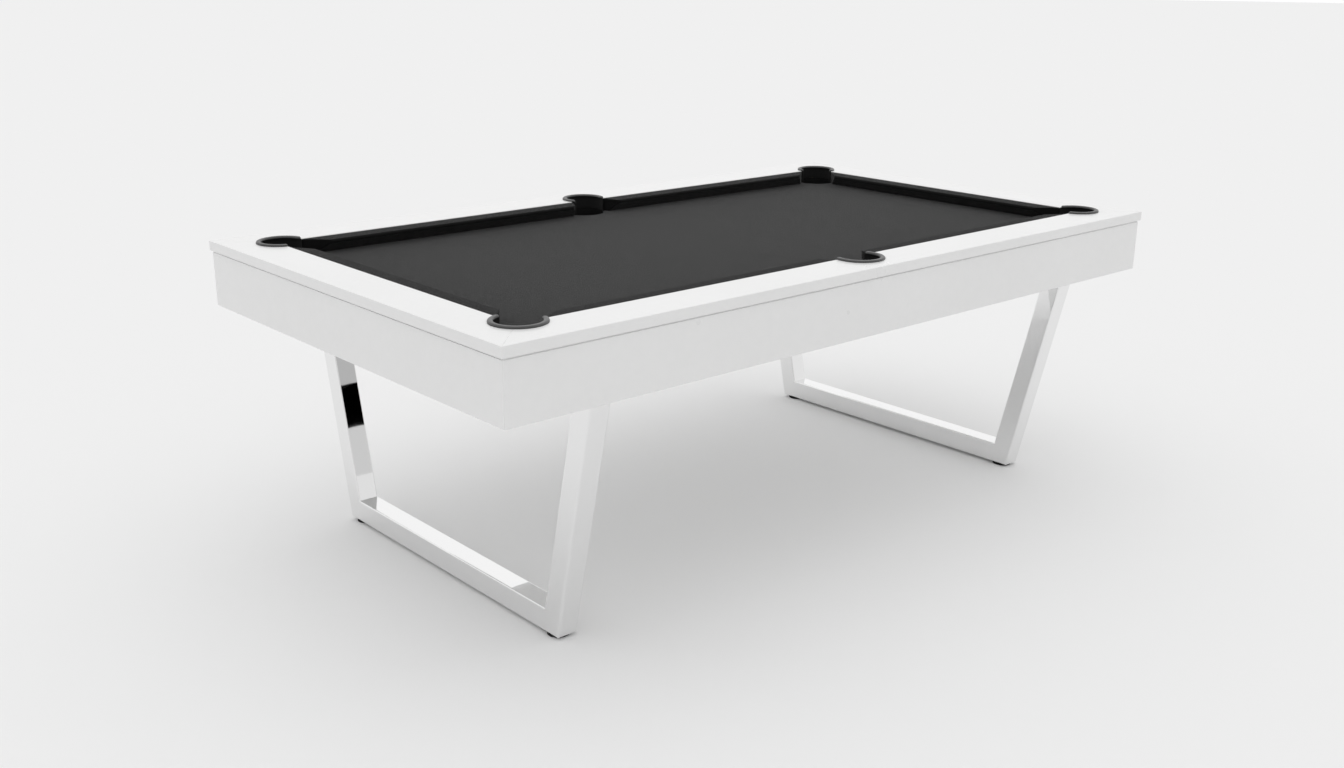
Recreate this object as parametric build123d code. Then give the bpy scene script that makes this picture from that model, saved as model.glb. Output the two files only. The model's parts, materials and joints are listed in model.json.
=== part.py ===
"""Seven-foot pool table: lacquered cabinet, slate bed, drop pockets, two chromed leg frames.

Millimetres. +X runs along the table, +Y across it and +Z up. The origin is on the floor
under the middle of the table. "front" is the -Y side, "left" the -X end.
"""
from build123d import *
import math
import os

# ---- Driving dimensions ----
PLAY_LENGTH = 1980.0          # cushion nose to cushion nose, twice the width
PLAY_WIDTH = 990.0
NOSE_REACH = 50.0             # from the cap's inner edge to the cushion's nose
CAP_WIDTH = 125.0             # top board of each rail
HEIGHT = 800.0                # floor to the top of the caps
CAP_THICK = 26.0
BED_DROP = 40.0               # cap top to the cloth of the bed
CLOTH_THICK = 1.0
SLATE_THICK = 20.0
SLATE_EDGE = 45.0             # from the cabinet's outer edge to the slate's edge
APRON_INSET = 5.0             # the aprons stand back from the cap's edge
APRON_THICK = 22.0
APRON_BOTTOM = 626.0
SHADOW_GAP = 4.5              # groove between apron and cap
SHADOW_DEPTH = 2.2
EDGE_ROUND = 1.5              # eased edges of the lacquered boards
MITRE_EASE = 0.8              # hairline groove at a mitred joint

POCKET_OUT = 37.5             # corner pocket centre, beyond both nose lines
SIDE_POCKET_OUT = 70.0        # side pocket centre, beyond the nose line
POCKET_HOLE = 62.5            # radius cut in caps and slate
COLLAR_WIDTH = 13.0           # rounded rim of a pocket collar
COLLAR_OUTER = 65.0
COLLAR_PROUD = 5.5            # rim above the cap
SKIRT_WALL = 5.0              # lining of the hole under the rim
SKIRT_EXTRA = 8.0             # degrees that the lining runs on past the rim's ends
CORNER_COLLAR_SPAN = 248.0    # degrees of rim round a corner pocket
SIDE_COLLAR_SPAN = 230.0
CUP_OUTER = 60.0
CUP_WALL = 4.0
CUP_BOTTOM = 645.0
CUP_FLANGE = 74.0
CUP_FLANGE_THICK = 4.0

JAW_BACK = 24.0               # corner jaw at the cap, back from the nose-line corner
JAW_NOSE = 86.0               # corner jaw at the nose, back from the nose-line corner
SIDE_JAW_BACK = 60.0          # side jaw at the cap, from the middle of the pocket
SIDE_JAW_NOSE = 84.0
JAW_ROUND = 22.0              # rounding of the cushion tips, seen from above
CUSHION_TOP_DROP = 2.0        # cushion top below the cap top
NOSE_ROUND = 5.0
CUSHION_FOOT = 21.0           # foot of the cushion, in from the cap's inner edge
CUSHION_LIFT = 1.0            # cushion foot above the cloth

BEAM_DEPTH = 60.0             # slate frame timbers
BEAM_WIDTH = 45.0
SIDE_BEAM_OUTER = 450.0
END_BEAM_INNER = 1092.0
CROSS_BEAM_WIDTH = 130.0
PANEL_THICK = 12.0

LEG_OUTER_X = 905.0           # outer face of each leg frame
TUBE_DEPTH = 58.0             # along the table
TUBE_WIDTH = 60.0             # in the plane of the frame
TUBE_WALL = 3.0
TUBE_ROUND = 4.0
TUBE_INNER_ROUND = 1.5
FOOT_GAP = 8.0                # bar above the floor
BAR_HALF = 480.0              # half length of the bar, at its underside
SPREAD_AT_APRON = 618.0       # half width of the frame level with the apron's bottom
PLATE_THICK = 8.0
PLATE_INNER = 520.0
PLATE_OUTER = 636.0

FOOT_INSET = 34.0             # foot centre in from the end of the bar
FOOT_RADIUS = 27.0
FOOT_BORE = 13.0
GLIDE_RADIUS = 12.0
GLIDE_LIFT = 0.6              # glide above the floor when screwed right in
GLIDE_THICK = 4.0
PIVOT_RADIUS = 2.5            # pin of the glide, inside the levelling screw
SCREW_RADIUS = 6.0
SCREW_LENGTH = 42.0
RUNNING_GAP = 0.05            # radial, screw in nut and pin in screw
BOLT_GAP = 0.2                # radial, round fixed bolts and screws

# ---- Worked out from them ----
LENGTH = PLAY_LENGTH + 2 * (NOSE_REACH + CAP_WIDTH)
WIDTH = PLAY_WIDTH + 2 * (NOSE_REACH + CAP_WIDTH)
HALF_L = LENGTH / 2
HALF_W = WIDTH / 2
INNER_L = HALF_L - CAP_WIDTH                  # inner edges of the caps
INNER_W = HALF_W - CAP_WIDTH
NOSE_L = PLAY_LENGTH / 2
NOSE_W = PLAY_WIDTH / 2
CAP_BOTTOM = HEIGHT - CAP_THICK
BED_TOP = HEIGHT - BED_DROP
SLATE_TOP = BED_TOP - CLOTH_THICK
SLATE_BOTTOM = SLATE_TOP - SLATE_THICK
SLATE_L = HALF_L - SLATE_EDGE
SLATE_W = HALF_W - SLATE_EDGE
APRON_L = HALF_L - APRON_INSET
APRON_W = HALF_W - APRON_INSET
INSIDE_L = APRON_L - APRON_THICK
INSIDE_W = APRON_W - APRON_THICK
BEAM_BOTTOM = SLATE_BOTTOM - BEAM_DEPTH
CORNER_POCKET = (NOSE_L + POCKET_OUT, NOSE_W + POCKET_OUT)
SIDE_POCKET = (0.0, NOSE_W + SIDE_POCKET_OUT)
COLLAR_MID = COLLAR_OUTER - COLLAR_WIDTH / 2
LEG_X = LEG_OUTER_X - TUBE_DEPTH / 2
SPREAD = (SPREAD_AT_APRON - BAR_HALF) / (APRON_BOTTOM - FOOT_GAP)
LEAN = math.atan(SPREAD)
POST_SPAN = TUBE_WIDTH / math.cos(LEAN)       # level width of a leaning post
BAR_TOP = FOOT_GAP + TUBE_WIDTH
POST_TOP = BEAM_BOTTOM - PLATE_THICK
FOOT_Y = BAR_HALF - FOOT_INSET
SLATE_JOINT = SLATE_L / 3

RAIL_BOLT_Y = INNER_W + 40.0
RAIL_BOLT_X = INNER_L + 40.0
LONG_RAIL_BOLTS = [(x, RAIL_BOLT_Y) for x in (140.0, 450.0, 760.0)]
END_RAIL_BOLTS = [(RAIL_BOLT_X, y) for y in (-300.0, 0.0, 300.0)]
SLATE_SCREW_Y = (-330.0, 0.0, 330.0)
SLATE_SCREW_X = (LEG_X, SLATE_JOINT + 15.0, SLATE_JOINT - 15.0)
LEG_BOLTS = [(LEG_X + dx, y) for dx in (-50.0, 50.0) for y in (548.0, 612.0)]

FRONT_BACK = (("front", -1), ("back", 1))
LEFT_RIGHT = (("left", -1), ("right", 1))


# ---- Shared shapes ----
def block(low, high):
    """Box between two opposite corners."""
    size = [b - a for a, b in zip(low, high)]
    middle = [(a + b) / 2 for a, b in zip(low, high)]
    return Pos(*middle) * Box(*size)


def prism(points, bottom, top):
    """Upright prism over an outline seen from above."""
    return Pos(0, 0, bottom) * extrude(Polygon(*points, align=None), amount=top - bottom, dir=(0, 0, 1))


def rod(centre, radius, bottom, top):
    """Upright cylinder."""
    middle = (bottom + top) / 2
    return Pos(centre[0], centre[1], middle) * Cylinder(radius, top - bottom)


def hexagon(centre, across_corners, bottom, top):
    """Upright hexagonal head."""
    outline = Pos(centre[0], centre[1], bottom) * RegularPolygon(across_corners / 2, 6)
    return extrude(outline, amount=top - bottom)


def flipped(shape, side_x, side_y):
    """The shape, drawn in the +X +Y quarter, moved to another quarter of the table."""
    if side_x < 0:
        shape = mirror(shape, about=Plane.YZ)
    if side_y < 0:
        shape = mirror(shape, about=Plane.XZ)
    return shape


def four_ways(points):
    """Every point mirrored into all four quarters, without repeats."""
    return sorted({(sx * x, sy * y) for x, y in points for sx in (-1, 1) for sy in (-1, 1)})


def pocket_centres():
    """Middle of every pocket, corners then sides."""
    return four_ways([CORNER_POCKET]) + four_ways([SIDE_POCKET])


def outward_angle(centre):
    """Direction from a pocket away from the table: square to a side, diagonal at a corner."""
    x, y = centre
    along = 0.0 if x == 0 else math.copysign(1, x)
    return math.atan2(math.copysign(1, y), along)


def pocket_notch(centre, bottom, top):
    """Round hole that is open towards the outside of the table."""
    hole = rod(centre, POCKET_HOLE, bottom, top)
    turn = math.degrees(outward_angle(centre))
    reach = 3 * POCKET_HOLE
    slot = Pos(reach / 2, 0, (bottom + top) / 2) * Box(reach, 2 * POCKET_HOLE, top - bottom)
    return hole + Pos(centre[0], centre[1], 0) * Rot(0, 0, turn) * slot


def drilled(shape, centres, radius, bottom, top):
    """The shape with a clearance hole round each bolt or screw."""
    for centre in centres:
        shape -= rod(centre, radius + BOLT_GAP, bottom, top)
    return shape


# ---- Rails ----
def cap_board(half_length, half_width, inner_length, inner_width, holes):
    """Mitred top board on the +Y side: eased long edges and a hairline at each mitre."""
    outline = [(-half_length, half_width), (half_length, half_width),
               (inner_length, inner_width), (-inner_length, inner_width)]
    board = prism(outline, CAP_BOTTOM, HEIGHT)
    top_edges = board.edges().group_by(Axis.Z)[-1]
    mitres = [edge for edge in top_edges if abs(edge.tangent_at(0.5).Y) > 0.1]
    board = chamfer(mitres, MITRE_EASE)
    board = fillet(board.edges().filter_by(Axis.X), EDGE_ROUND)
    for centre in holes:
        board -= rod(centre, POCKET_HOLE, CAP_BOTTOM - 1, HEIGHT + 1)
    return board


def cap_long():
    """Top board of the back rails, with two corner pockets and the side pocket."""
    x, y = CORNER_POCKET
    board = cap_board(HALF_L, HALF_W, INNER_L, INNER_W, [(x, y), (-x, y), SIDE_POCKET])
    bolts = [(s * bx, by) for bx, by in LONG_RAIL_BOLTS for s in (-1, 1)]
    return drilled(board, bolts, 5.0, CAP_BOTTOM - 1, HEIGHT - 6.0)


def cap_end():
    """Top board of the right-hand end rail."""
    x, y = CORNER_POCKET
    board = cap_board(HALF_W, HALF_L, INNER_W, INNER_L, [(y, x), (-y, x)])
    board = Rot(0, 0, -90) * board
    return drilled(board, END_RAIL_BOLTS, 5.0, CAP_BOTTOM - 1, HEIGHT - 6.0)


def subrail_long():
    """Timber under the cap, between the side pocket and a corner pocket."""
    low = (POCKET_HOLE + 4, INNER_W, BED_TOP)
    rail = block(low, (INNER_L - 80, SLATE_W, CAP_BOTTOM))
    return drilled(rail, LONG_RAIL_BOLTS, 5.0, BED_TOP - 1, CAP_BOTTOM + 1)


def subrail_end():
    """Timber under the end cap, between the corner pockets."""
    half = INNER_W - 80
    rail = block((INNER_L, -half, BED_TOP), (SLATE_L, half, CAP_BOTTOM))
    return drilled(rail, END_RAIL_BOLTS, 5.0, BED_TOP - 1, CAP_BOTTOM + 1)


def cushion_section():
    """Section in the Y-Z plane, Y measured in from the cap's inner edge: flat top, small
    round nose, and an undercut face that falls back to a narrow foot."""
    top = HEIGHT - CUSHION_TOP_DROP
    foot = BED_TOP + CUSHION_LIFT
    nose = (NOSE_REACH - NOSE_ROUND, top - NOSE_ROUND)
    fall = math.atan2(nose[1] - foot, nose[0] - CUSHION_FOOT)
    low_angle = fall - math.pi / 2
    low = (nose[0] + NOSE_ROUND * math.cos(low_angle), nose[1] + NOSE_ROUND * math.sin(low_angle))
    mid_angle = (low_angle + math.pi / 2) / 2
    mid = (nose[0] + NOSE_ROUND * math.cos(mid_angle), nose[1] + NOSE_ROUND * math.sin(mid_angle))
    outline = Polyline((0, top), (0, foot), (CUSHION_FOOT, foot), low)
    outline += ThreePointArc(low, mid, (nose[0], top))
    outline += Line((nose[0], top), (0, top))
    return make_face(outline)


def cushion(back_low, back_high, nose_low, nose_high, edge):
    """Cushion along +X whose back is on y = edge and whose nose points to -Y."""
    section = Plane(origin=(back_low - 1, edge, 0), x_dir=(0, -1, 0), z_dir=(-1, 0, 0)) * cushion_section()
    length = back_high - back_low + 2
    body = extrude(section, amount=length, dir=(1, 0, 0))
    nose_y = edge - NOSE_REACH
    outline = Polygon((back_low, edge), (nose_low, nose_y), (nose_high, nose_y), (back_high, edge), align=None)
    tips = [v for v in outline.vertices() if abs(v.Y - nose_y) < 1e-6]
    outline = fillet(tips, JAW_ROUND)
    return body & (Pos(0, 0, BED_TOP) * extrude(outline, amount=BED_DROP))


def cushion_long():
    """Right half of the back cushions."""
    return cushion(SIDE_JAW_BACK, NOSE_L - JAW_BACK, SIDE_JAW_NOSE, NOSE_L - JAW_NOSE, INNER_W)


def cushion_end():
    """Cushion of the right-hand end."""
    back = NOSE_W - JAW_BACK
    nose = NOSE_W - JAW_NOSE
    return Rot(0, 0, -90) * cushion(-back, back, -nose, nose, INNER_L)


# ---- Pockets ----
def collar_arc(radius, span):
    """Arc round the origin, open towards -Y, that covers span degrees."""
    return CenterArc((0, 0), radius, 90 - span / 2, span)


def pocket_collar(span):
    """C-shaped rim with a rounded top, on a skirt that lines the hole in the cap."""
    round_end = math.degrees(COLLAR_WIDTH / 2 / COLLAR_MID)
    rim = SlotArc(collar_arc(COLLAR_MID, span - 2 * round_end), COLLAR_WIDTH)
    rim = extrude(Pos(0, 0, HEIGHT) * rim, amount=COLLAR_PROUD)
    rim = fillet(rim.edges().group_by(Axis.Z)[-1], COLLAR_PROUD * 0.8)
    skirt_mid = POCKET_HOLE - 0.5 - SKIRT_WALL / 2
    skirt_end = math.degrees(SKIRT_WALL / 2 / skirt_mid)
    skirt = SlotArc(collar_arc(skirt_mid, span + SKIRT_EXTRA - 2 * skirt_end), SKIRT_WALL)
    skirt = extrude(Pos(0, 0, BED_TOP + 4) * skirt, amount=BED_DROP - 4)
    return rim + skirt


def pocket_cup(span):
    """Bucket under the slate with a fixing flange, and a back wall up to the collar."""
    inner = CUP_OUTER - CUP_WALL
    bucket = rod((0, 0), CUP_OUTER, CUP_BOTTOM, SLATE_BOTTOM)
    bucket += rod((0, 0), CUP_FLANGE, SLATE_BOTTOM - CUP_FLANGE_THICK, SLATE_BOTTOM)
    bucket -= rod((0, 0), inner, CUP_BOTTOM + CUP_WALL, SLATE_BOTTOM + 1)
    wall = SlotArc(collar_arc(CUP_OUTER - CUP_WALL / 2, span - 6), CUP_WALL)
    return bucket + extrude(Pos(0, 0, SLATE_BOTTOM) * wall, amount=BED_TOP + 3.5 - SLATE_BOTTOM)


def at_pocket(shape, centre):
    """A pocket part, drawn open towards -Y, turned to open towards the table's middle."""
    turn = math.degrees(outward_angle(centre)) - 90
    return Pos(centre[0], centre[1], 0) * Rot(0, 0, turn) * shape


# ---- Bed ----
def rail_bolt_centres():
    """Every bolt that clamps a rail to the slate."""
    return four_ways(LONG_RAIL_BOLTS + END_RAIL_BOLTS)


def slate_screw_centres():
    """Every countersunk screw that holds the slate down."""
    return four_ways([(x, y) for x in SLATE_SCREW_X for y in SLATE_SCREW_Y])


def near(centres, low_x, high_x):
    """The centres that lie between two places along the table."""
    return [c for c in centres if low_x - 70 < c[0] < high_x + 70]


def slate(low_x, high_x):
    """One of three slabs, notched round the pockets and drilled."""
    slab = block((low_x, -SLATE_W, SLATE_BOTTOM), (high_x, SLATE_W, SLATE_TOP))
    for centre in near(pocket_centres(), low_x, high_x):
        slab -= pocket_notch(centre, SLATE_BOTTOM - 1, SLATE_TOP + 1)
    slab = drilled(slab, near(rail_bolt_centres(), low_x, high_x), 5.0, SLATE_BOTTOM - 1, SLATE_TOP + 1)
    screws = near(slate_screw_centres(), low_x, high_x)
    slab = drilled(slab, screws, 4.0, SLATE_BOTTOM - 1, SLATE_TOP + 1)
    return drilled(slab, screws, 8.0, SLATE_TOP - 4, SLATE_TOP + 1)


def bed_cloth():
    """Cloth over the whole slate, under the rails, cut at the pockets."""
    sheet = block((-SLATE_L, -SLATE_W, SLATE_TOP), (SLATE_L, SLATE_W, BED_TOP))
    for centre in pocket_centres():
        sheet -= pocket_notch(centre, SLATE_TOP - 1, BED_TOP + 1)
    return drilled(sheet, rail_bolt_centres(), 5.0, SLATE_TOP - 1, BED_TOP + 1)


def frame_side_beams():
    """Timbers along the table, butted between the cross beams."""
    inner = SIDE_BEAM_OUTER - BEAM_WIDTH
    half_cross = CROSS_BEAM_WIDTH / 2
    spans = [(-LEG_X + half_cross, LEG_X - half_cross),
             (LEG_X + half_cross, END_BEAM_INNER),
             (-END_BEAM_INNER, -LEG_X - half_cross)]
    beams = []
    for low, high in spans:
        for side in (-1, 1):
            beam = block((low, inner, BEAM_BOTTOM), (high, SIDE_BEAM_OUTER, SLATE_BOTTOM))
            beams.append(flipped(beam, 1, side))
    return Compound(beams)


def frame_cross_beams():
    """Timbers across the table: over the legs, at the ends, and under both slate joints."""
    beams = []
    half_cross = CROSS_BEAM_WIDTH / 2
    screws = slate_screw_centres()
    for side in (-1, 1):
        over_leg = block((LEG_X - half_cross, -INSIDE_W, BEAM_BOTTOM), (LEG_X + half_cross, INSIDE_W, SLATE_BOTTOM))
        over_leg = drilled(over_leg, four_ways(LEG_BOLTS), 5.0, BEAM_BOTTOM - 1, SLATE_BOTTOM - 14)
        at_end = block((END_BEAM_INNER, -SIDE_BEAM_OUTER, BEAM_BOTTOM),
                       (INSIDE_L, SIDE_BEAM_OUTER, SLATE_BOTTOM))
        joint = block((SLATE_JOINT - BEAM_WIDTH, BEAM_WIDTH - SIDE_BEAM_OUTER, BEAM_BOTTOM),
                      (SLATE_JOINT + BEAM_WIDTH, SIDE_BEAM_OUTER - BEAM_WIDTH, SLATE_BOTTOM))
        for beam in (over_leg, at_end, joint):
            beam = drilled(beam, screws, 4.0, SLATE_BOTTOM - 32, SLATE_BOTTOM + 1)
            beams.append(flipped(beam, side, 1))
    return Compound(beams)


# ---- Cabinet ----
def apron(half_length, half_width):
    """Mitred board on the +Y side with a shadow groove along its top outer edge."""
    inner_l = half_length - APRON_THICK
    inner_w = half_width - APRON_THICK
    ease = MITRE_EASE
    right = [(half_length - 2 * ease, half_width), (half_length - ease, half_width - ease), (inner_l, inner_w)]
    outline = right + [(-x, y) for x, y in reversed(right)]
    board = prism(outline, APRON_BOTTOM, CAP_BOTTOM)
    bottom_edges = board.edges().filter_by(Axis.X).group_by(Axis.Z)[0]
    board = fillet(bottom_edges.sort_by(Axis.Y)[-1], EDGE_ROUND)
    low = (-half_length - 1, half_width - SHADOW_DEPTH, CAP_BOTTOM - SHADOW_GAP)
    board -= block(low, (half_length + 1, half_width + 1, CAP_BOTTOM + 1))
    for side in (-1, 1):
        low = (half_length - SHADOW_DEPTH, inner_w - 1, CAP_BOTTOM - SHADOW_GAP)
        board -= flipped(block(low, (half_length + 1, half_width + 1, CAP_BOTTOM + 1)), side, 1)
    return board


def corner_blocks():
    """Glued blocks inside the four cabinet corners."""
    size = 40.0
    piece = block((INSIDE_L - size, INSIDE_W - size, APRON_BOTTOM + PANEL_THICK), (INSIDE_L, INSIDE_W, CAP_BOTTOM))
    return Compound([flipped(piece, sx, sy) for sx in (-1, 1) for sy in (-1, 1)])


def bottom_panels():
    """Three panels that close the underside, notched round the leg posts."""
    gap = 2.0
    slot = TUBE_DEPTH / 2 + gap
    notch_y = SPREAD_AT_APRON - POST_SPAN - gap
    top = APRON_BOTTOM + PANEL_THICK
    middle = block((-LEG_X, -INSIDE_W, APRON_BOTTOM), (LEG_X, INSIDE_W, top))
    outer = block((LEG_X, -INSIDE_W, APRON_BOTTOM), (INSIDE_L, INSIDE_W, top))
    for side_y in (-1, 1):
        for side_x in (-1, 1):
            cut = block((LEG_X - slot, notch_y, APRON_BOTTOM - 1), (LEG_X + slot, INSIDE_W + 1, top + 1))
            middle -= flipped(cut, side_x, side_y)
            outer -= flipped(cut, side_x, side_y)
    return Compound([middle, outer, flipped(outer, -1, 1)])


# ---- Legs ----
def post_y(z):
    """Outer face of the back post at a height."""
    return BAR_HALF + (z - FOOT_GAP) * SPREAD


def tube_section():
    """Square tube with rounded corners: X is along the table."""
    outer = RectangleRounded(TUBE_DEPTH, TUBE_WIDTH, TUBE_ROUND)
    return outer - RectangleRounded(TUBE_DEPTH - 2 * TUBE_WALL, TUBE_WIDTH - 2 * TUBE_WALL, TUBE_INNER_ROUND)


def frame_slab(outline):
    """Slab across the tube depth over an outline given in (y, z)."""
    points = [(LEG_X, y, z) for y, z in outline]
    face = make_face(Polyline(*points, close=True))
    return extrude(face, amount=TUBE_DEPTH, dir=(1, 0, 0), both=True)


def leg_bar():
    """Floor bar of the right-hand leg, mitred at both ends and drilled for the feet."""
    inner = post_y(BAR_TOP) - POST_SPAN
    outline = [(-BAR_HALF, FOOT_GAP), (BAR_HALF, FOOT_GAP), (inner, BAR_TOP), (-inner, BAR_TOP)]
    start = Plane(origin=(LEG_X, -BAR_HALF, FOOT_GAP + TUBE_WIDTH / 2), x_dir=(1, 0, 0), z_dir=(0, 1, 0))
    tube = extrude(start * tube_section(), amount=2 * BAR_HALF)
    bar = tube & frame_slab(outline)
    for side in (-1, 1):
        bar -= rod((LEG_X, side * FOOT_Y), 9.2, 0, FOOT_GAP + TUBE_WALL + 1)
    return bar


def leg_post():
    """Leaning post of the right-hand leg, on the back side."""
    inner = post_y(BAR_TOP) - POST_SPAN
    outline = [(BAR_HALF, FOOT_GAP), (post_y(POST_TOP), POST_TOP),
               (post_y(POST_TOP) - POST_SPAN, POST_TOP), (inner, BAR_TOP)]
    along = Vector(0, math.sin(LEAN), math.cos(LEAN))
    inward = Vector(0, -math.cos(LEAN), math.sin(LEAN))
    foot = Vector(LEG_X, BAR_HALF, FOOT_GAP) + inward * (TUBE_WIDTH / 2) - along * (2 * TUBE_WIDTH)
    start = Plane(origin=foot, x_dir=(1, 0, 0), z_dir=along)
    tube = extrude(start * tube_section(), amount=POST_TOP + 3 * TUBE_WIDTH)
    return tube & frame_slab(outline)


def leg_plates():
    """Plates welded to the tops of the posts and bolted under the cross beams."""
    half = CROSS_BEAM_WIDTH / 2
    plate = block((LEG_X - half, PLATE_INNER, POST_TOP), (LEG_X + half, PLATE_OUTER, BEAM_BOTTOM))
    plate = drilled(plate, LEG_BOLTS, 5.0, POST_TOP - 1, BEAM_BOTTOM + 1)
    return Compound([flipped(plate, sx, sy) for sx in (-1, 1) for sy in (-1, 1)])


# ---- Fasteners ----
def leg_bolts():
    """Hexagon bolts up through the plates into the cross beams."""
    bolts = []
    for centre in four_ways(LEG_BOLTS):
        bolts.append(rod(centre, 5.0, POST_TOP, SLATE_BOTTOM - 15) + hexagon(centre, 18.0, POST_TOP - 7, POST_TOP))
    return Compound(bolts)


def slate_screws():
    """Countersunk screws down through the slate into the frame."""
    screws = []
    for centre in slate_screw_centres():
        shank = rod(centre, 4.0, SLATE_BOTTOM - 31, SLATE_TOP - 4)
        screws.append(shank + rod(centre, 8.0, SLATE_TOP - 4, SLATE_TOP))
    return Compound(screws)


def rail_bolts():
    """Hexagon bolts up through the slate that clamp the rails."""
    bolts = []
    for centre in rail_bolt_centres():
        shank = rod(centre, 5.0, SLATE_BOTTOM, HEIGHT - 7.0)
        bolts.append(shank + hexagon(centre, 18.0, SLATE_BOTTOM - 7, SLATE_BOTTOM))
    return Compound(bolts)


# ---- Levelling feet ----
def foot_rings():
    """Black rubber rings under the ends of the bars, which carry the table on a level floor."""
    ring = rod((LEG_X, FOOT_Y), FOOT_RADIUS, 0, FOOT_GAP)
    ring = fillet(ring.edges().sort_by(Axis.Z)[0], 1.0)
    ring -= rod((LEG_X, FOOT_Y), FOOT_BORE, -1, FOOT_GAP + 1)
    return Compound([flipped(ring, sx, sy) for sx in (-1, 1) for sy in (-1, 1)])


def leveller_nuts():
    """Threaded nuts welded into the underside of the bars."""
    centre = (LEG_X, FOOT_Y)
    wall_top = FOOT_GAP + TUBE_WALL
    nut = rod(centre, 9.0, FOOT_GAP, wall_top) + rod(centre, 13.0, wall_top, wall_top + 16)
    nut -= rod(centre, SCREW_RADIUS + RUNNING_GAP, 0, wall_top + 20)
    return Compound([flipped(nut, sx, sy) for sx in (-1, 1) for sy in (-1, 1)])


def leveller_glide():
    """Steel glide inside the ring, with a pin on which the levelling screw turns."""
    centre = (LEG_X, FOOT_Y)
    top = GLIDE_LIFT + GLIDE_THICK
    disc = rod(centre, GLIDE_RADIUS, GLIDE_LIFT, top)
    disc = fillet(disc.edges().sort_by(Axis.Z)[0], 1.0)
    return disc + rod(centre, PIVOT_RADIUS, top, top + 8)


def leveller_screw():
    """Threaded stud with a blind bore for the glide's pin and a key slot in its top."""
    centre = (LEG_X, FOOT_Y)
    bottom = GLIDE_LIFT + GLIDE_THICK + 0.3
    stud = rod(centre, SCREW_RADIUS, bottom, bottom + SCREW_LENGTH)
    stud -= rod(centre, PIVOT_RADIUS + RUNNING_GAP, bottom - 1, bottom + 9)
    slot_bottom = bottom + SCREW_LENGTH - 3
    slot = block((LEG_X - 1, FOOT_Y - 7, slot_bottom), (LEG_X + 1, FOOT_Y + 7, slot_bottom + 4))
    return stud - slot


# ---- Assembly ----
def rail_parts():
    """Caps, timbers and cushions of the six rails."""
    parts = {}
    for side_name, side in FRONT_BACK:
        parts[f"cap_{side_name}"] = flipped(cap_long(), 1, side)
        for half_name, half in LEFT_RIGHT:
            parts[f"subrail_{side_name}_{half_name}"] = flipped(subrail_long(), half, side)
            parts[f"cushion_{side_name}_{half_name}"] = flipped(cushion_long(), half, side)
    for end_name, end in LEFT_RIGHT:
        parts[f"cap_{end_name}_end"] = flipped(cap_end(), end, 1)
        parts[f"subrail_{end_name}_end"] = flipped(subrail_end(), end, 1)
        parts[f"cushion_{end_name}_end"] = flipped(cushion_end(), end, 1)
    return parts


def pocket_parts():
    """Collar and cup of every pocket."""
    parts = {}
    for side_name, side in FRONT_BACK:
        for place, place_x in (("left", -1), ("middle", 0), ("right", 1)):
            is_side = place_x == 0
            span = SIDE_COLLAR_SPAN if is_side else CORNER_COLLAR_SPAN
            x, y = SIDE_POCKET if is_side else CORNER_POCKET
            centre = (place_x * x, side * y)
            parts[f"pocket_collar_{side_name}_{place}"] = at_pocket(pocket_collar(span), centre)
            parts[f"pocket_cup_{side_name}_{place}"] = at_pocket(pocket_cup(span), centre)
    return parts


def bed_parts():
    """Slates, cloth and the timber frame under them."""
    return {
        "slate_left": slate(-SLATE_L, -SLATE_JOINT),
        "slate_middle": slate(-SLATE_JOINT, SLATE_JOINT),
        "slate_right": slate(SLATE_JOINT, SLATE_L),
        "bed_cloth": bed_cloth(),
        "frame_side_beams": frame_side_beams(),
        "frame_cross_beams": frame_cross_beams(),
    }


def cabinet_parts():
    """Aprons, corner blocks and underside."""
    long_board = apron(APRON_L, APRON_W)
    short_board = Rot(0, 0, -90) * apron(APRON_W, APRON_L)
    return {
        "apron_front": flipped(long_board, 1, -1),
        "apron_back": long_board,
        "apron_left_end": flipped(short_board, -1, 1),
        "apron_right_end": short_board,
        "corner_blocks": corner_blocks(),
        "bottom_panels": bottom_panels(),
    }


def leg_parts():
    """Leg frames and their levelling feet."""
    parts = {"leg_plates": leg_plates(), "foot_rings": foot_rings(), "leveller_nuts": leveller_nuts()}
    for end_name, end in LEFT_RIGHT:
        parts[f"leg_bar_{end_name}"] = flipped(leg_bar(), end, 1)
        for side_name, side in FRONT_BACK:
            where = f"{side_name}_{end_name}"
            parts[f"leg_post_{where}"] = flipped(leg_post(), end, side)
            parts[f"leveller_glide_{where}"] = flipped(leveller_glide(), end, side)
            parts[f"leveller_screw_{where}"] = flipped(leveller_screw(), end, side)
    return parts


def fastener_parts():
    """Bolts and screws, one node for each kind."""
    return {"leg_bolts": leg_bolts(), "slate_screws": slate_screws(), "rail_bolts": rail_bolts()}


def main():
    """Write one STEP file for every part."""
    os.makedirs("parts", exist_ok=True)
    for group in (rail_parts, pocket_parts, bed_parts, cabinet_parts, leg_parts, fastener_parts):
        for name, shape in group().items():
            shape.label = name
            export_step(shape, f"parts/{name}.step")


main()
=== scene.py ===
"""Looks of a seven-foot pool table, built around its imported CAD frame. Metres, +Z up."""

import json
import math

import bmesh
import bpy
import numpy as np
from mathutils import Matrix, Vector


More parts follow.
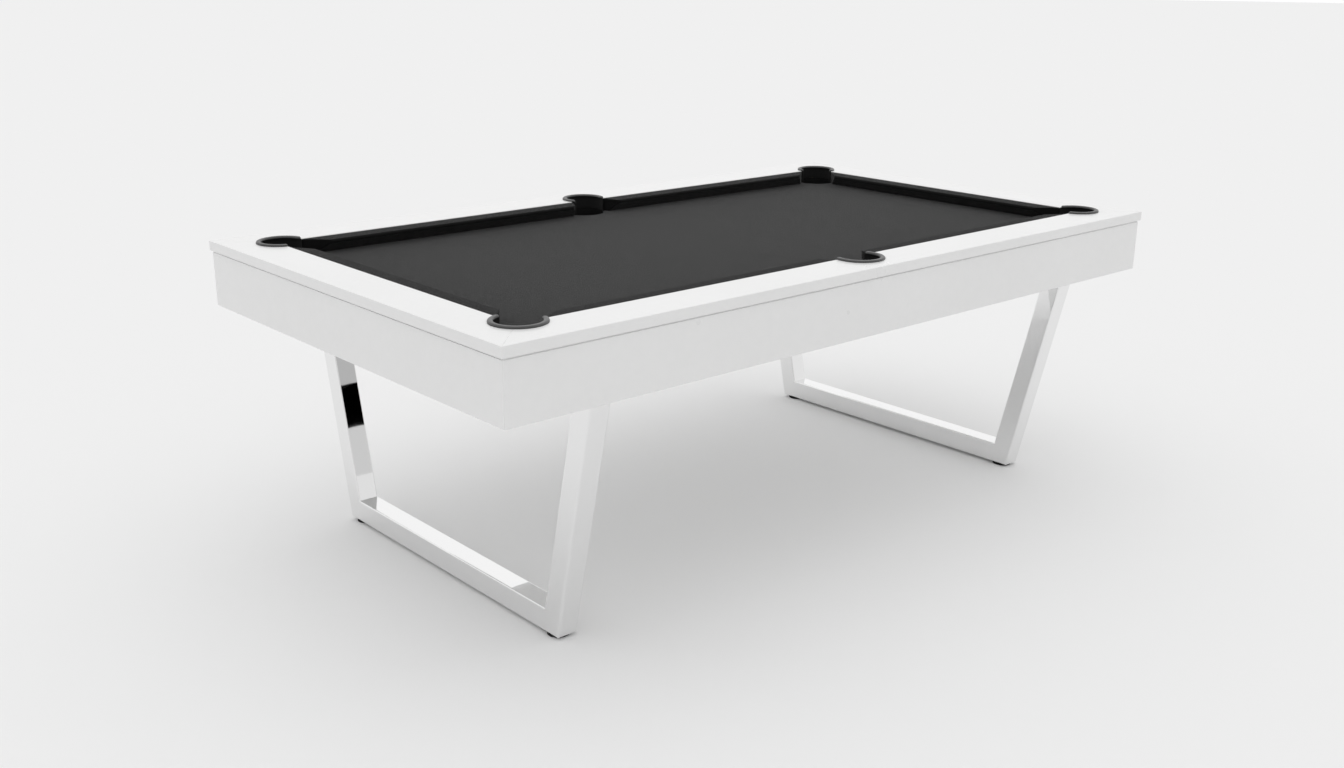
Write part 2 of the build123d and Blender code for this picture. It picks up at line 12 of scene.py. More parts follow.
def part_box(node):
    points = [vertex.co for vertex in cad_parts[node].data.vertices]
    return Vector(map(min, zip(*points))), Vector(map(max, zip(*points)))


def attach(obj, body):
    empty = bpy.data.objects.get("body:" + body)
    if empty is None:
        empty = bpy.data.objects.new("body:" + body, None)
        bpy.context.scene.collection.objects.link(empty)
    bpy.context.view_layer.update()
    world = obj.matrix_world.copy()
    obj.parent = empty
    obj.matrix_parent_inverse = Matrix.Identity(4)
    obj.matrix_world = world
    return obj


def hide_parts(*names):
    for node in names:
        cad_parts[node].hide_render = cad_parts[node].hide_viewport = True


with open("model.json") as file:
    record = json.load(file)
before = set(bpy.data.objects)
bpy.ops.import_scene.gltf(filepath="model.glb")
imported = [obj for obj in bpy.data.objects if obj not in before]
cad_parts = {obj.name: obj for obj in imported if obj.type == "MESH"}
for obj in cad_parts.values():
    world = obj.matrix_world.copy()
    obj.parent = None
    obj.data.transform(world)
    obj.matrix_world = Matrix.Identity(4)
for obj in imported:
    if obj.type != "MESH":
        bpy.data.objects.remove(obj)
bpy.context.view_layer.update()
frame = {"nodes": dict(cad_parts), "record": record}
nodes = frame["nodes"]

# ---- Measures read from the frame ----
CAP_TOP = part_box("cap_back")[1].z
BED_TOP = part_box("bed_cloth")[1].z
SLATE_L, SLATE_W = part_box("bed_cloth")[1].xy

# ---- Sizes of the soft pieces ----
NOSE_ROUND = 0.006             # rounding of a cushion's nose, in section
TOP_FALL = 0.0012              # the cushion's top falls this much from cap to nose
CUSHION_FOOT = 0.021           # width of a cushion where it meets the bed
EDGE_ROUND = 0.0016            # cloth rolled over the edge of a jaw
JAW_TUCK = 0.0012              # the cloth reaches this far past the jaw, against the collar
JAW_BACK = 0.024               # corner jaw at the cap, in from the nose-line corner
JAW_NOSE = 0.086               # corner jaw at the nose
SIDE_JAW_NOSE = 0.084          # side jaw at the nose, from the middle of the pocket
JAW_ROUND = 0.022              # rounding of a cushion tip, seen from above
NOTCH_RADIUS = 0.0618          # cloth turned down inside the hole in the slate
CLOTH_ROLL = 0.0035            # radius of the cloth over the slate's edge
CLOTH_THICK = 0.0008
CLOTH_DROP = 0.015             # how far the cloth reaches down into a pocket

# ---- Fineness of the soft pieces' meshes ----
CUSHION_ROWS = 90              # sections along a cushion
CLOTH_FINE_STEP = 0.0022       # grid of the bed cloth round a pocket
CLOTH_COARSE_STEP = 0.02       # grid of the bed cloth elsewhere
POCKET_MARGIN = 0.012          # the fine grid goes this far past a pocket's hole

# ---- Finishes ----
RIM_BLEND = 0.0015             # height over which the painted shade on a collar's part inside the hole turns into its rim

# ---- Stage ----
HORIZON_LIGHT = 0.87           # brightness of the surround at eye height
ZENITH_LIGHT = 0.46            # added straight overhead
BACK_LIGHT = 0.15              # added towards the back, taken off towards the viewer
BACK_DIRECTION = (0.66, 0.75)  # level direction of the back, x and y
FLOOR_TONE = 0.852
FLOOR_RADIUS = 60
MIRROR_CARD_Y = -4.2
MIRROR_CARD_X = (1.30, 1.62)
MIRROR_CARDS = (               # bottom, top, brightness
    (0.0, 0.300, 0.83),
    (0.300, 0.616, 0.66),
    (0.616, 0.896, 0.0),
    (0.896, 1.5, 0.50),
)

# ---- Camera ----
CAMERA_PLACE = (-2.6034, -2.7821, 1.5175)
CAMERA_YAW = 41.668            # degrees, from +Y towards +X
CAMERA_PITCH = -17.317         # degrees, up is positive
CAMERA_ROLL = 0.461            # degrees
CAMERA_LENS = 36.554           # millimetres on a 36 mm wide sensor


# ---- Mesh making ----
def surface(name, points, faces):
    """Mesh object from an (n, 3) array of points and a list of face index arrays."""
    mesh = bpy.data.meshes.new(name)
    mesh.from_pydata(points.tolist(), [], [f for block in faces for f in block.tolist()])
    mesh.update()
    piece = bpy.data.objects.new(name, mesh)
    bpy.context.scene.collection.objects.link(piece)
    mesh.shade_smooth()
    return piece


def grid_faces(rows, columns, wrap=False, keep=None):
    """Quads of a rows x columns grid of points; wrap joins the last column to the first."""
    index = np.arange(rows * columns).reshape(rows, columns)
    if wrap:
        index = np.hstack([index, index[:, :1]])
    quads = np.stack([index[:-1, :-1], index[:-1, 1:], index[1:, 1:], index[1:, :-1]], -1)
    quads = quads.reshape(-1, 4)
    return quads if keep is None else quads[keep.ravel()]


def spaced(start, stop, count, crowd=0.0):
    """Steps from start to stop, crowded towards both ends by a cosine share."""
    t = np.linspace(0.0, 1.0, count)
    return start + (stop - start) * ((1 - crowd) * t + crowd * (1 - np.cos(math.pi * t)) / 2)


# ---- Cushions ----
def cushion_loop(reach, foot, top):
    """Closed section (u, z), u in from the cap: a top that falls by the square of u, a
    round nose, a straight undercut to a narrow foot, then along the bed back to the start."""
    nose_u, nose_z = reach - NOSE_ROUND, top - TOP_FALL - NOSE_ROUND
    fall = math.atan2(nose_z - foot, nose_u - CUSHION_FOOT)
    across = spaced(0, nose_u, 14)
    top_run = np.stack([across, top - TOP_FALL * (across / nose_u) ** 2], 1)
    turn = np.linspace(math.pi / 2, fall - math.pi / 2, 12)[1:]
    nose = np.stack([nose_u + NOSE_ROUND * np.cos(turn), nose_z + NOSE_ROUND * np.sin(turn)], 1)
    share = np.linspace(0, 1, 12)[1:, None]
    undercut = nose[-1] * (1 - share) + np.array([CUSHION_FOOT, foot]) * share
    floor = np.stack([spaced(CUSHION_FOOT, 0, 7)[1:], np.full(6, foot)], 1)
    back = np.stack([np.zeros(8), spaced(foot, top, 10)[1:-1]], 1)
    return np.concatenate([top_run, nose, undercut, floor, back])


def jaw_line(u, reach, back, nose):
    """Where a cushion ends along its length, for a distance u in from the cap: a straight
    jaw from back to nose, with a tangent arc into the nose line."""
    slope = (nose - back) / reach
    turn = math.atan(slope)
    tangent = JAW_ROUND * math.tan((math.pi / 2 - abs(turn)) / 2)
    sign = 1.0 if slope > 0 else -1.0
    centre_u = reach - JAW_ROUND
    centre_x = nose + sign * tangent
    straight = back + slope * u
    start_u = reach - tangent * math.cos(turn)
    inside = np.clip(JAW_ROUND ** 2 - (u - centre_u) ** 2, 0, None)
    return np.where(u > start_u, centre_x - sign * np.sqrt(inside), straight)


def cushion_points(low, high, reach, foot, top, shapes):
    """Grid of a cushion, one closed section per row. Each end starts as a point at the
    section's middle, grows flat to the jaw's edge and rolls over it; between the ends a
    row's x is a straight blend of the two jaw lines."""
    loop = cushion_loop(reach, foot, top)
    middle = np.array([reach * 0.40, (foot + top) / 2])
    roll = np.linspace(0, math.pi / 2, 5)
    in_radius = (top - foot) / 2
    rolled = 1 - (EDGE_ROUND / in_radius) * (1 - np.sin(roll))
    scale = np.concatenate([[0.0, 0.3, 0.6], rolled])
    inset = np.concatenate([[0.0, 0.0, 0.0], EDGE_ROUND * (1 - np.cos(roll))])
    body = spaced(0, 1, shapes, 0.9)[1:-1]
    scale = np.concatenate([scale, np.ones(len(body)), scale[::-1]])
    blend = np.concatenate([np.zeros(len(inset)), body, np.ones(len(inset))])
    shift = np.concatenate([inset, EDGE_ROUND * (1 - 2 * body), -inset[::-1]])
    section = middle + (loop - middle)[None] * scale[:, None, None]
    u, z = section[..., 0], section[..., 1]
    x_low = jaw_line(u, reach, *low)
    x_high = jaw_line(u, reach, *high)
    x = x_low * (1 - blend[:, None]) + x_high * blend[:, None] + shift[:, None]
    return np.stack([x, u, z], -1)


def cushion_cover(node, axis, side, low, high):
    """Cloth-covered cushion in place of a CAD cushion. axis 0 lies along X, 1 along Y, and
    side is the sign of the side or end that it stands at."""
    low_corner, high_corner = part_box(node)
    across = 1 - axis
    edge = max(abs(low_corner[across]), abs(high_corner[across]))
    reach = high_corner[across] - low_corner[across]
    grid = cushion_points(low, high, reach, low_corner.z, high_corner.z, CUSHION_ROWS)
    points = np.empty_like(grid)
    points[..., axis] = grid[..., 0]
    points[..., across] = side * (edge - grid[..., 1])
    points[..., 2] = grid[..., 2]
    rows, columns = points.shape[:2]
    faces = grid_faces(rows, columns, wrap=True)
    piece = surface("cover_" + node, points.reshape(-1, 3), [faces])
    weld_and_face_out(piece)
    # the cushion cloth is the bed cloth darkened as painted shade
    piece.data.materials.append(cushion_cloth)
    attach(piece, "table")
    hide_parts(node)


def weld_and_face_out(piece):
    """Merges the points that meet at poles and turns every face outwards."""
    shell = bmesh.new()
    shell.from_mesh(piece.data)
    bmesh.ops.remove_doubles(shell, verts=shell.verts, dist=1e-6)
    bmesh.ops.recalc_face_normals(shell, faces=shell.faces)
    shell.to_mesh(piece.data)
    shell.free()
    piece.data.shade_smooth()


def make_cushions():
    """The four long halves and the two ends."""
    nose_l = min(abs(corner.x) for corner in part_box("cushion_right_end"))
    nose_w = min(abs(corner.y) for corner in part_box("cushion_back_left"))
    side_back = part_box("cushion_back_right")[0].x
    for side_name, side in (("front", -1), ("back", 1)):
        for half_name, half in (("left", -1), ("right", 1)):
            at_side = (half * (side_back - JAW_TUCK), half * SIDE_JAW_NOSE)
            at_corner = (half * (nose_l - JAW_BACK + JAW_TUCK), half * (nose_l - JAW_NOSE))
            low, high = sorted((at_side, at_corner))
            cushion_cover(f"cushion_{side_name}_{half_name}", 0, side, low, high)
    for end_name, end in (("left", -1), ("right", 1)):
        corner = (nose_w - JAW_BACK + JAW_TUCK, nose_w - JAW_NOSE)
        cushion_cover(f"cushion_{end_name}_end", 1, end, (-corner[0], -corner[1]), corner)


# ---- Bed cloth ----
def pocket_centres():
    """Middle of each pocket cup, seen from above."""
    centres = []
    for name in nodes:
        if name.startswith("pocket_cup"):
            low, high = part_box(name)
            centres.append(((low.x + high.x) / 2, (low.y + high.y) / 2))
    return sorted(centres)


def fine_lines(extent, centres, fine, coarse):
    """Grid lines from -extent to extent: fine round each pocket, coarse between."""
    reach = NOTCH_RADIUS + POCKET_MARGIN
    places = [-extent]
    for centre in sorted({round(c, 5) for c in centres}):
        places += [centre - reach, centre + reach]
    places.append(extent)
    lines = []
    for start, stop in zip(places, places[1:]):
        near_pocket = abs(stop - start - 2 * reach) < 1e-6
        step = fine if near_pocket else coarse
        count = max(2, int(round((stop - start) / step)) + 1)
        lines.append(np.linspace(start, stop, count)[:-1])
    lines.append(np.array([extent]))
    return np.concatenate(lines)


def make_bed_cloth():
    """Cloth stretched over the slate. Flat outside the pockets; within a roll radius of a
    pocket's hole a point's distance from the edge becomes a quarter turn and then a drop,
    so that the cloth goes over the slate's edge and down into the pocket."""
    centres = pocket_centres()
    across = [y for x, y in centres if x != 0]
    xs = fine_lines(SLATE_L, [x for x, y in centres], CLOTH_FINE_STEP, CLOTH_COARSE_STEP)
    ys = fine_lines(SLATE_W, across, CLOTH_FINE_STEP, CLOTH_COARSE_STEP)
    x, y = np.meshgrid(xs, ys, indexing="ij")
    z = np.full_like(x, BED_TOP)
    kept = np.ones_like(x, bool)
    rim = NOTCH_RADIUS + CLOTH_ROLL
    for cx, cy in centres:
        dx, dy = x - cx, y - cy
        radius = np.hypot(dx, dy)
        radius_safe = np.maximum(radius, 1e-6)
        run = rim - radius
        turn = np.clip(run / CLOTH_ROLL, 0, math.pi / 2)
        drop = np.clip(run - CLOTH_ROLL * math.pi / 2, 0, None)
        inside = run > 0
        new_radius = rim - CLOTH_ROLL * np.sin(turn)
        x = np.where(inside, cx + dx / radius_safe * new_radius, x)
        y = np.where(inside, cy + dy / radius_safe * new_radius, y)
        z = np.where(inside, BED_TOP - CLOTH_ROLL * (1 - np.cos(turn)) - drop, z)
        kept &= drop < CLOTH_DROP
        out_x = 0.0 if abs(cx) < 1e-6 else math.copysign(math.sqrt(0.5), cx)
        out_y = math.copysign(1.0 if out_x == 0 else math.sqrt(0.5), cy)
        outward = dx * out_x + dy * out_y
        sideways = np.abs(dx * out_y - dy * out_x)
        kept &= ~((outward > 0) & (sideways < rim))
    keep = kept[:-1, :-1] & kept[1:, :-1] & kept[1:, 1:] & kept[:-1, 1:]
    points = np.stack([x, y, z], -1).reshape(-1, 3)
    piece = surface("cloth_on_bed", points, [grid_faces(len(xs), len(ys), keep=keep)])
    drop_loose_points(piece)
    thick = piece.modifiers.new("thickness", "SOLIDIFY")
    thick.thickness = CLOTH_THICK
    thick.offset = -1.0
    piece.data.materials.append(bed_cloth)
    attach(piece, "table")
    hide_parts("bed_cloth")


def drop_loose_points(piece):
    """Removes the points that no face uses and makes the cloth's upper face point up."""
    sheet = bmesh.new()
    sheet.from_mesh(piece.data)
    loose = [v for v in sheet.verts if not v.link_faces]
    bmesh.ops.delete(sheet, geom=loose, context="VERTS")
    bmesh.ops.recalc_face_normals(sheet, faces=sheet.faces)
    if sum(f.normal.z for f in sheet.faces) < 0:
        bmesh.ops.reverse_faces(sheet, faces=sheet.faces)
    sheet.to_mesh(piece.data)
    sheet.free()
    piece.data.shade_smooth()


# ---- Shader helpers ----
def node(tree, kind, **settings):
    """New shader node; settings are its properties, or its inputs by name."""
    made = tree.nodes.new("ShaderNode" + kind)
    for key, value in settings.items():
        name = key.replace("_", " ")
        if hasattr(made, key):
            setattr(made, key, value)
        else:
            made.inputs[name].default_value = value
    return made


def join(tree, source, output, target, entry):
    """Links an output to an input, both by name."""
    tree.links.new(source.outputs[output], target.inputs[entry])


def new_group(name, inputs, outputs):
    """Empty shader group with float or colour sockets: {"Name": default}."""
    tree = bpy.data.node_groups.new(name, "ShaderNodeTree")
    for label, default in inputs.items():
        kind = "NodeSocketColor" if isinstance(default, tuple) else "NodeSocketFloat"
        socket = tree.interface.new_socket(label, in_out="INPUT", socket_type=kind)
        socket.default_value = default
    for label, kind in outputs.items():
        tree.interface.new_socket(label, in_out="OUTPUT", socket_type=kind)
    return tree, tree.nodes.new("NodeGroupInput"), tree.nodes.new("NodeGroupOutput")


def noise(tree, place, scale, detail=3.0, rough=0.5, stretch=None):
    """Noise texture on a position, stretched along an axis where asked."""
    source, output = place
    if stretch is not None:
        mapping = node(tree, "Mapping")
        mapping.inputs["Scale"].default_value = stretch
        join(tree, source, output, mapping, "Vector")
        source, output = mapping, "Vector"
    made = node(tree, "TexNoise", Scale=scale, Detail=detail, Roughness=rough)
    join(tree, source, output, made, "Vector")
    return made


def remap(tree, source, output, low, high, new_low, new_high):
    """Clamped change of range."""
    made = node(tree, "MapRange", From_Min=low, From_Max=high, To_Min=new_low, To_Max=new_high)
    join(tree, source, output, made, "Value")
    return made


def math_node(tree, operation, first, second):
    """Math node; each argument is a number or a (node, output) pair."""
    made = node(tree, "Math", operation=operation)
    for slot, value in enumerate((first, second)):
        if isinstance(value, tuple):
            tree.links.new(value[0].outputs[value[1]], made.inputs[slot])
        else:
            made.inputs[slot].default_value = value
    return made


# ---- Shared effects ----
def mottle_group():
    """Soft uneven colour: two noises, broad and fine, blend between two colours."""
    tree, entry, exit_ = new_group("mottle", {
        "Dark": (0.1, 0.1, 0.1, 1), "Light": (0.2, 0.2, 0.2, 1), "Broad": 6.0, "Fine": 90.0}, {
        "Color": "NodeSocketColor"})
    place = node(tree, "TexCoord")
    broad = noise(tree, (place, "Object"), 6.0, 3.0, 0.55)
    join(tree, entry, "Broad", broad, "Scale")
    fine = noise(tree, (place, "Object"), 90.0, 4.0, 0.6)
    join(tree, entry, "Fine", fine, "Scale")
    both = math_node(tree, "ADD", (broad, "Fac"), (fine, "Fac"))
    mask = remap(tree, both, "Value", 0.7, 1.3, 0.0, 1.0)
    mix = node(tree, "MixRGB")
    join(tree, mask, "Result", mix, "Fac")
    join(tree, entry, "Dark", mix, "Color1")
    join(tree, entry, "Light", mix, "Color2")
    join(tree, mix, "Color", exit_, "Color")
    return tree


def weave_group():
    """Felted twill: two crossed sets of threads, softened by a fine nap. Height only."""
    tree, entry, exit_ = new_group("weave", {"Threads": 1400.0, "Nap": 0.5}, {
        "Height": "NodeSocketFloat"})
    place = node(tree, "TexCoord")
    waves = []
    for direction in ("X", "Y"):
        wave = node(tree, "TexWave", bands_direction=direction, Distortion=1.4, Detail=2.0)
        join(tree, place, "Object", wave, "Vector")
        join(tree, entry, "Threads", wave, "Scale")
        waves.append(wave)
    threads = math_node(tree, "MULTIPLY", (waves[0], "Fac"), (waves[1], "Fac"))
    nap = noise(tree, (place, "Object"), 900.0, 5.0, 0.7)
    fuzz = math_node(tree, "MULTIPLY", (nap, "Fac"), 1.0)
    tree.links.new(entry.outputs["Nap"], fuzz.inputs[1])
    total = math_node(tree, "ADD", (threads, "Value"), (fuzz, "Value"))
    join(tree, total, "Value", exit_, "Height")
    return tree


def skin_group():
    """Very fine unevenness of a sprayed, cast or plated surface. Height and a soft mask."""
    tree, entry, exit_ = new_group("skin", {
        "Ripple": 120.0, "Grit": 900.0, "Grit Share": 0.3}, {
        "Height": "NodeSocketFloat", "Mask": "NodeSocketFloat"})
    place = node(tree, "TexCoord")
    ripple = noise(tree, (place, "Object"), 120.0, 2.0, 0.4)
    join(tree, entry, "Ripple", ripple, "Scale")
    grit = noise(tree, (place, "Object"), 900.0, 3.0, 0.6)
    join(tree, entry, "Grit", grit, "Scale")
    share = math_node(tree, "MULTIPLY", (grit, "Fac"), 0.3)
    tree.links.new(entry.outputs["Grit Share"], share.inputs[1])
    total = math_node(tree, "ADD", (ripple, "Fac"), (share, "Value"))
    join(tree, total, "Value", exit_, "Height")
    broad = noise(tree, (place, "Object"), 3.0, 4.0, 0.6)
    join(tree, broad, "Fac", exit_, "Mask")
    return tree


def grain_group():
    """Timber grain along one axis: stretched noise bent into long streaks, and pores."""
    tree, entry, exit_ = new_group("grain", {
        "Dark": (0.3, 0.2, 0.1, 1), "Light": (0.6, 0.45, 0.28, 1)}, {
        "Color": "NodeSocketColor", "Height": "NodeSocketFloat"})
    place = node(tree, "TexCoord")
    rings = noise(tree, (place, "Object"), 26.0, 6.0, 0.6, stretch=(0.08, 1.0, 1.0))
    pores = noise(tree, (place, "Object"), 420.0, 2.0, 0.5, stretch=(0.03, 1.0, 1.0))
    mask = remap(tree, rings, "Fac", 0.35, 0.65, 0.0, 1.0)
    mix = node(tree, "MixRGB")
    join(tree, mask, "Result", mix, "Fac")
    join(tree, entry, "Dark", mix, "Color1")
    join(tree, entry, "Light", mix, "Color2")
    join(tree, mix, "Color", exit_, "Color")
    total = math_node(tree, "ADD", (rings, "Fac"), (pores, "Fac"))
    join(tree, total, "Value", exit_, "Height")
    return tree


MOTTLE = mottle_group()
WEAVE = weave_group()
SKIN = skin_group()
GRAIN = grain_group()


def finish_material(name, **fixed):
    """Material, its tree and its Principled shader, with the shader's named inputs set."""
    material = bpy.data.materials.new(name)
    material.use_nodes = True
    tree = material.node_tree
    shader = tree.nodes["Principled BSDF"]
    for key, value in fixed.items():
        shader.inputs[key.replace("_", " ")].default_value = value
    return material, tree, shader


def use_group(tree, group, **values):
    """Places a shared effect with its own values."""
    made = tree.nodes.new("ShaderNodeGroup")
    made.node_tree = group
    for key, value in values.items():
        made.inputs[key.replace("_", " ")].default_value = value
    return made


def bump_from(tree, source, output, shader, distance, strength=1.0):
    """Bump of a real height, in metres, into the shader's normal."""
    bump = node(tree, "Bump", Strength=strength, Distance=distance)
    join(tree, source, output, bump, "Height")
    join(tree, bump, "Normal", shader, "Normal")
    return bump


# ---- Materials ----
def make_white_lacquer():
    """Sprayed satin lacquer: slight orange peel, faint unevenness of gloss and tone."""
    material, tree, shader = finish_material(
        "white satin lacquer", Roughness=0.3, Coat_Weight=0.25, Coat_Roughness=0.12)
    tone = use_group(tree, MOTTLE, Dark=(0.785, 0.785, 0.783, 1), Light=(0.805, 0.805, 0.803, 1),
                     Broad=2.2, Fine=40.0)
    join(tree, tone, "Color", shader, "Base Color")
    skin = use_group(tree, SKIN, Ripple=160.0, Grit=700.0, Grit_Share=0.15)
    gloss = remap(tree, skin, "Mask", 0.3, 0.7, 0.27, 0.36)
    join(tree, gloss, "Result", shader, "Roughness")
    bump_from(tree, skin, "Height", shader, 0.00006)
    return material


def make_underside():
    """Rolled pale paint on board."""
    material, tree, shader = finish_material("underside paint", Roughness=0.7)
    tone = use_group(tree, MOTTLE, Dark=(0.76, 0.76, 0.755, 1), Light=(0.80, 0.80, 0.795, 1),
                     Broad=3.0, Fine=60.0)
    join(tree, tone, "Color", shader, "Base Color")
    skin = use_group(tree, SKIN, Ripple=260.0, Grit=1200.0, Grit_Share=0.6)
    bump_from(tree, skin, "Height", shader, 0.0003)
    return material


def make_timber():
    """Planed softwood."""
    material, tree, shader = finish_material("planed timber", Roughness=0.65)
    grain = use_group(tree, GRAIN, Dark=(0.30, 0.17, 0.075, 1), Light=(0.56, 0.38, 0.20, 1))
    join(tree, grain, "Color", shader, "Base Color")
    bump_from(tree, grain, "Height", shader, 0.0004)
    return material


def make_cloth(name, dark, light, sheen):
    """Charcoal worsted cloth with a short nap that brightens at a low angle."""
    material, tree, shader = finish_material(
        name, Roughness=0.92, Sheen_Weight=sheen, Sheen_Roughness=0.3)
    shader.inputs["Sheen Tint"].default_value = (0.9, 0.9, 0.9, 1)
    shader.inputs["Specular IOR Level"].default_value = 0.1
    tone = use_group(tree, MOTTLE, Dark=dark, Light=light, Broad=9.0, Fine=420.0)
    weave = use_group(tree, WEAVE, Threads=300.0, Nap=0.7)
    join(tree, tone, "Color", shader, "Base Color")
    bump_from(tree, weave, "Height", shader, 0.0003)
    return material


def make_collar():
    """Moulded collar: a dark grey satin rim with a fine cast skin; below the top of the cap,
    inside the pocket's hole, painted near-black as shade and dull."""
    material, tree, shader = finish_material("satin collar", Roughness=0.38)
    tone = use_group(tree, MOTTLE, Dark=(0.045, 0.045, 0.045, 1), Light=(0.062, 0.062, 0.062, 1),
                     Broad=25.0, Fine=500.0)
    place = node(tree, "TexCoord")
    split = node(tree, "SeparateXYZ")
    join(tree, place, "Object", split, "Vector")
    rim = remap(tree, split, "Z", CAP_TOP, CAP_TOP + RIM_BLEND, 0.0, 1.0)
    mix = node(tree, "MixRGB")
    # near-black below the top of the cap: painted shade inside the pocket's hole
    mix.inputs["Color1"].default_value = (0.004, 0.004, 0.004, 1)
    join(tree, rim, "Result", mix, "Fac")
    join(tree, tone, "Color", mix, "Color2")
    join(tree, mix, "Color", shader, "Base Color")
    skin = use_group(tree, SKIN, Ripple=500.0, Grit=2200.0, Grit_Share=0.8)
    gloss = remap(tree, skin, "Mask", 0.3, 0.7, 0.34, 0.46)
    dull = remap(tree, rim, "Result", 0.0, 1.0, 0.95, 0.3)
    rough = math_node(tree, "MAXIMUM", (gloss, "Result"), (dull, "Result"))
    join(tree, rough, "Value", shader, "Roughness")
    bump_from(tree, skin, "Height", shader, 0.00008)
    return material


def make_rubber(name, grit):
    """Moulded black rubber."""
    material, tree, shader = finish_material(name, Roughness=0.8, Specular_IOR_Level=0.2)
    tone = use_group(tree, MOTTLE, Dark=(0.004, 0.004, 0.004, 1), Light=(0.009, 0.009, 0.009, 1),
                     Broad=30.0, Fine=600.0)
    join(tree, tone, "Color", shader, "Base Color")
    skin = use_group(tree, SKIN, Ripple=700.0, Grit=2500.0, Grit_Share=1.0)
    bump_from(tree, skin, "Height", shader, grit)
    return material


def make_slate():
    """Honed slate: blue-grey with broad clouds."""
    material, tree, shader = finish_material("honed slate", Roughness=0.6)
    tone = use_group(tree, MOTTLE, Dark=(0.09, 0.10, 0.11, 1), Light=(0.20, 0.21, 0.22, 1),
                     Broad=5.0, Fine=160.0)
    join(tree, tone, "Color", shader, "Base Color")
    skin = use_group(tree, SKIN, Ripple=300.0, Grit=1800.0, Grit_Share=0.5)
    bump_from(tree, skin, "Height", shader, 0.0002)
    return material


def make_chrome():
    """Polished chrome plate: a mirror with faint polishing marks and hazier patches."""
    material, tree, shader = finish_material("polished chrome", Metallic=1.0, Roughness=0.05)
    shader.inputs["Base Color"].default_value = (0.875, 0.875, 0.875, 1)
    skin = use_group(tree, SKIN, Ripple=12.0, Grit=1500.0, Grit_Share=0.01)
    gloss = remap(tree, skin, "Mask", 0.35, 0.7, 0.006, 0.03)
    join(tree, gloss, "Result", shader, "Roughness")
    bump_from(tree, skin, "Height", shader, 0.00003)
    return material


def make_steel(name, dark, light, rough):
    """Zinc plated steel: slightly clouded, fine machining marks."""
    material, tree, shader = finish_material(name, Metallic=1.0, Roughness=rough)
    tone = use_group(tree, MOTTLE, Dark=dark, Light=light, Broad=40.0, Fine=900.0)
    join(tree, tone, "Color", shader, "Base Color")
    skin = use_group(tree, SKIN, Ripple=900.0, Grit=3000.0, Grit_Share=0.6)
    bump_from(tree, skin, "Height", shader, 0.00005)
    return material


def paint_frame(finishes):
    """Gives every CAD node the finish of its material slot."""
    slot_of = {part["node"]: part["material_slot"] for part in frame["record"]["subparts"]}
    for name, piece in nodes.items():
        piece.data.materials.clear()
        piece.data.materials.append(finishes[slot_of[name]])


# ---- Stage ----
def make_floor():
    """Plain pale floor: a wide disc given by radius and angle."""
    rings, spokes = 30, 72
    angles = np.linspace(0, 2 * math.pi, spokes + 1)[:-1]
    radius, angle = np.meshgrid(np.linspace(0, FLOOR_RADIUS, rings), angles, indexing="ij")
    points = np.stack([radius * np.cos(angle), radius * np.sin(angle), np.zeros_like(radius)], -1)
    floor = surface("floor", points.reshape(-1, 3), [grid_faces(rings, spokes, wrap=True)])
    material, tree, shader = finish_material("studio floor", Roughness=0.75)
    shader.inputs["Base Color"].default_value = (FLOOR_TONE, FLOOR_TONE, FLOOR_TONE, 1)
    shader.inputs["Specular IOR Level"].default_value = 0.0
    floor.data.materials.append(material)


def make_cards():
    """Upright strip of flat cards off the front side that only mirrors can see. Each is a
    bottom, a top and a brightness; they give the chrome its dark and grey bands."""
    for low, high, level in MIRROR_CARDS:
        left, right = MIRROR_CARD_X
        corners = np.array([(left, low), (right, low), (right, high), (left, high)])
        points = np.stack([corners[:, 0], np.full(4, MIRROR_CARD_Y), corners[:, 1]], -1)
        card = surface("mirror_card", points, [np.array([[0, 1, 2, 3]])])
        material = bpy.data.materials.new("mirror card")
        material.use_nodes = True
        tree = material.node_tree
        glow = node(tree, "Emission", Strength=level)
        join(tree, glow, "Emission", tree.nodes["Material Output"], "Surface")
        card.data.materials.append(material)
        card.visible_camera = False
        card.visible_diffuse = False
        card.visible_shadow = False
        card.visible_transmission = False


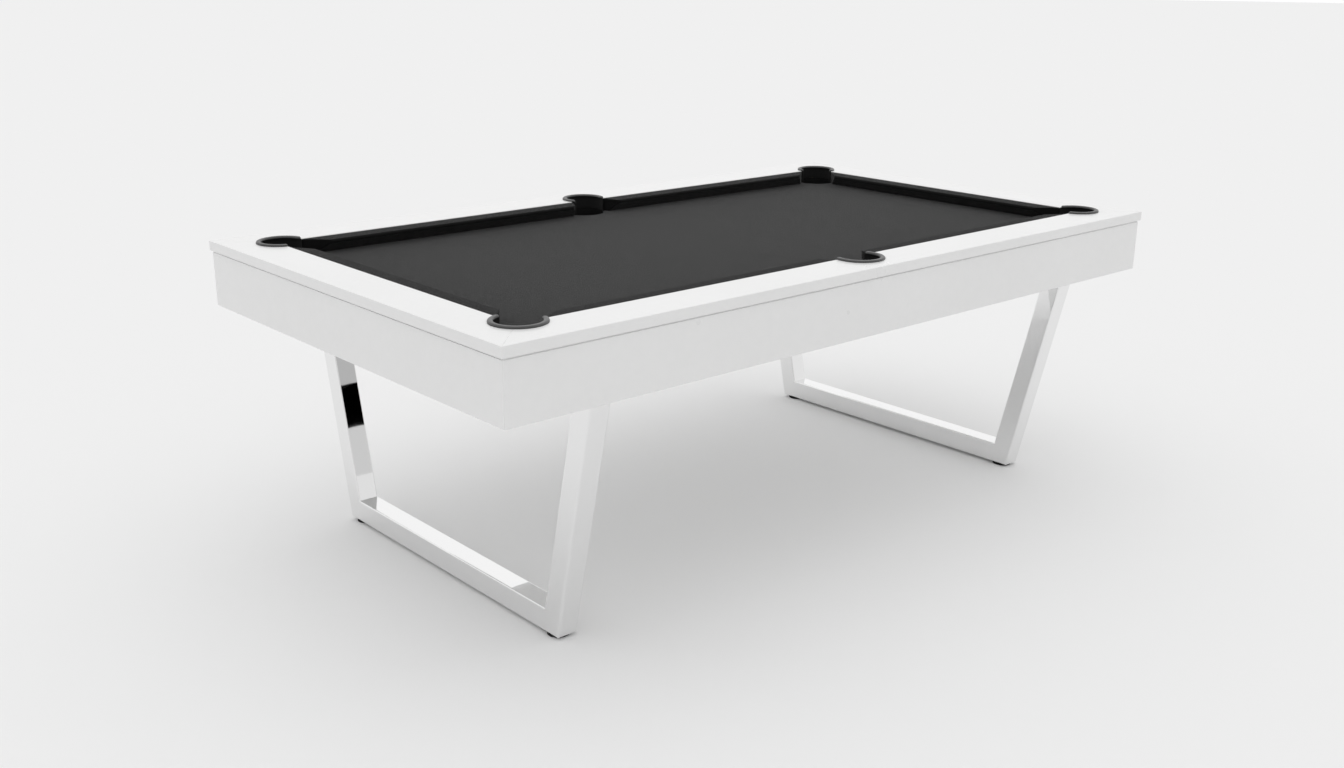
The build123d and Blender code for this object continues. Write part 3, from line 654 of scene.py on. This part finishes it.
def make_light():
    """White studio: an even surround that brightens overhead like one broad soft box, and
    is dimmer on the viewer's side than behind the table. The brightness of a direction is
    HORIZON_LIGHT, plus ZENITH_LIGHT times the fourth power of its height, plus BACK_LIGHT
    times how far it points to the back."""
    world = bpy.data.worlds.new("studio")
    bpy.context.scene.world = world
    world.use_nodes = True
    tree = world.node_tree
    place = node(tree, "TexCoord")
    split = node(tree, "SeparateXYZ")
    join(tree, place, "Generated", split, "Vector")
    height = math_node(tree, "MAXIMUM", (split, "Z"), 0.0)
    power = math_node(tree, "POWER", (height, "Value"), 4.0)
    share = math_node(tree, "MULTIPLY", (power, "Value"), ZENITH_LIGHT)
    overhead = math_node(tree, "ADD", (share, "Value"), HORIZON_LIGHT)
    back_x = math_node(tree, "MULTIPLY", (split, "X"), BACK_LIGHT * BACK_DIRECTION[0])
    back_y = math_node(tree, "MULTIPLY", (split, "Y"), BACK_LIGHT * BACK_DIRECTION[1])
    back = math_node(tree, "ADD", (back_x, "Value"), (back_y, "Value"))
    total = math_node(tree, "ADD", (overhead, "Value"), (back, "Value"))
    background = tree.nodes["Background"]
    background.inputs["Color"].default_value = (1, 1, 1, 1)
    join(tree, total, "Value", background, "Strength")


def make_camera():
    """Camera of a standing viewer off the front left corner. Yaw and pitch give the way it
    looks; roll turns its right and up directions about that."""
    data = bpy.data.cameras.new("camera")
    data.sensor_width = 36.0
    data.lens = CAMERA_LENS
    yaw, pitch, roll = (math.radians(a) for a in (CAMERA_YAW, CAMERA_PITCH, CAMERA_ROLL))
    ahead = math.cos(pitch)
    forward = Vector((math.sin(yaw) * ahead, math.cos(yaw) * ahead, math.sin(pitch)))
    level = forward.cross(Vector((0, 0, 1))).normalized()
    above = level.cross(forward)
    right = level * math.cos(roll) + above * math.sin(roll)
    up = above * math.cos(roll) - level * math.sin(roll)
    camera = bpy.data.objects.new("camera", data)
    bpy.context.scene.collection.objects.link(camera)
    turn = Matrix((right, up, -forward)).transposed().to_4x4()
    camera.matrix_world = Matrix.Translation(CAMERA_PLACE) @ turn
    bpy.context.scene.camera = camera


bpy.context.scene.view_settings.view_transform = "Standard"
bed_cloth = make_cloth(
    "charcoal bed cloth", (0.019, 0.019, 0.019, 1), (0.023, 0.023, 0.023, 1), 0.22)
# The cushions are the same cloth as the bed; their darker base colour and weaker sheen are
# painted shade of the undercut faces under the noses.
cushion_cloth = make_cloth(
    "cushion cloth with painted shade", (0.006, 0.006, 0.006, 1), (0.009, 0.009, 0.009, 1), 0.15)
paint_frame({
    "white_lacquer": make_white_lacquer(),
    "underside_board": make_underside(),
    "frame_timber": make_timber(),
    "cushion_cloth": cushion_cloth,
    "bed_cloth": bed_cloth,
    "pocket_collar": make_collar(),
    "pocket_cup": make_rubber("pocket rubber", 0.0003),
    "slate": make_slate(),
    "chrome": make_chrome(),
    "plate_steel": make_steel("plate steel", (0.42, 0.42, 0.41, 1), (0.55, 0.55, 0.53, 1), 0.4),
    "fastener_steel": make_steel(
        "zinc plated steel", (0.5, 0.5, 0.48, 1), (0.62, 0.62, 0.6, 1), 0.32),
    "foot_rubber": make_rubber("foot rubber", 0.0004),
})
make_cushions()
make_bed_cloth()
make_floor()
make_cards()
make_light()
make_camera()
